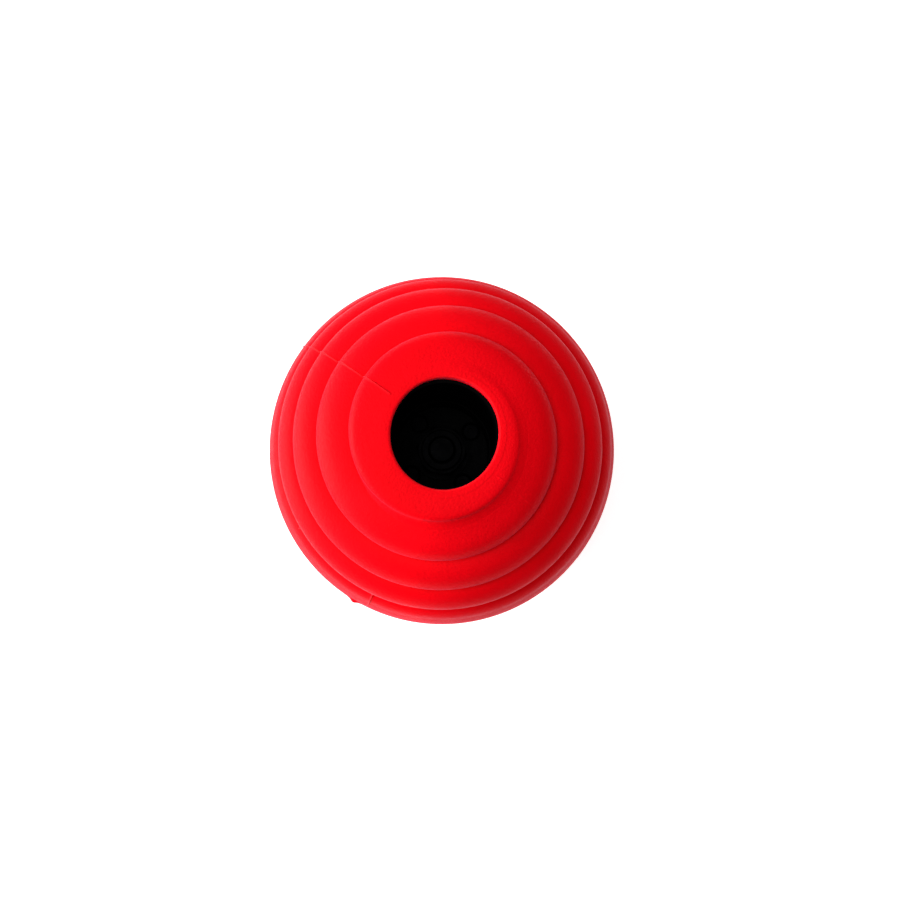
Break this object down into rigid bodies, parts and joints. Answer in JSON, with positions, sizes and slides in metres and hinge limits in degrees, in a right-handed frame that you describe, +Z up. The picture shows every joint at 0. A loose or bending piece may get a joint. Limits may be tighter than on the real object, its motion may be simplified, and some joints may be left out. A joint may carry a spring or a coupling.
{
  "type": "diabolo",
  "caption": "Diabolo with two closed rubber bells, spiral-ribbed domes with a central well, and a string sleeve turning on a bearing axle.",
  "frame": {"origin": "centre of the lower bell's lip, on the surface it stands on", "axes": "+Z up along the axle, from the lower bell to the upper bell; X and Y across the axle"},
  "size_m": [0.1, 0.1, 0.15],
  "materials": {
    "red_rubber": "matte, soft touch",
    "black_nylon": "matte moulded",
    "anodised_aluminium": "satin anodised",
    "polished_aluminium": "polished by the string",
    "black_steel": "black oxide",
    "bright_steel": "turned, zinc plated",
    "bearing_steel": "ground and polished",
    "shield_steel": "pressed sheet",
    "white_nylon": "matte"
  },
  "bodies": {
    "hub": {"upper_bell": "red_rubber", "upper_hub_core": "black_nylon", "upper_hub_disc": "anodised_aluminium", "upper_hub_screws": "black_steel", "upper_washer": "black_steel", "upper_lock_nut": "black_steel", "upper_nut_insert": "white_nylon", "upper_inner_spacer": "bright_steel", "upper_inner_race": "bearing_steel", "lower_bell": "red_rubber", "lower_hub_core": "black_nylon", "lower_hub_disc": "anodised_aluminium", "lower_hub_screws": "black_steel", "lower_washer": "black_steel", "lower_lock_nut": "black_steel", "lower_nut_insert": "white_nylon", "lower_inner_spacer": "bright_steel", "lower_inner_race": "bearing_steel", "axle_shaft": "black_steel"},
    "sleeve": {"string_sleeve": "polished_aluminium", "clutch_shell": "bright_steel", "clutch_rollers": "bearing_steel", "clutch_cage": "white_nylon", "upper_outer_race": "bearing_steel", "upper_shields": "shield_steel", "lower_outer_race": "bearing_steel", "lower_shields": "shield_steel"},
    "upper_cage": {"upper_balls": "bearing_steel", "upper_ball_cage": "shield_steel"},
    "lower_cage": {"lower_balls": "bearing_steel", "lower_ball_cage": "shield_steel"}
  },
  "joints": [
    {"name": "sleeve_spin", "type": "hinge", "parent": "hub", "child": "sleeve", "pos_m": [0, 0, 0.075], "axis": [0, 0, 1], "continuous": true},
    {"name": "upper_cage_spin", "type": "hinge", "parent": "hub", "child": "upper_cage", "pos_m": [0, 0, 0.075], "axis": [0, 0, 1], "continuous": true},
    {"name": "lower_cage_spin", "type": "hinge", "parent": "hub", "child": "lower_cage", "pos_m": [0, 0, 0.075], "axis": [0, 0, 1], "continuous": true}
  ],
  "couplings": [
    {"joint": "upper_cage_spin", "follows": "sleeve_spin", "ratio": 0.5927},
    {"joint": "lower_cage_spin", "follows": "sleeve_spin", "ratio": 0.5927}
  ]
}
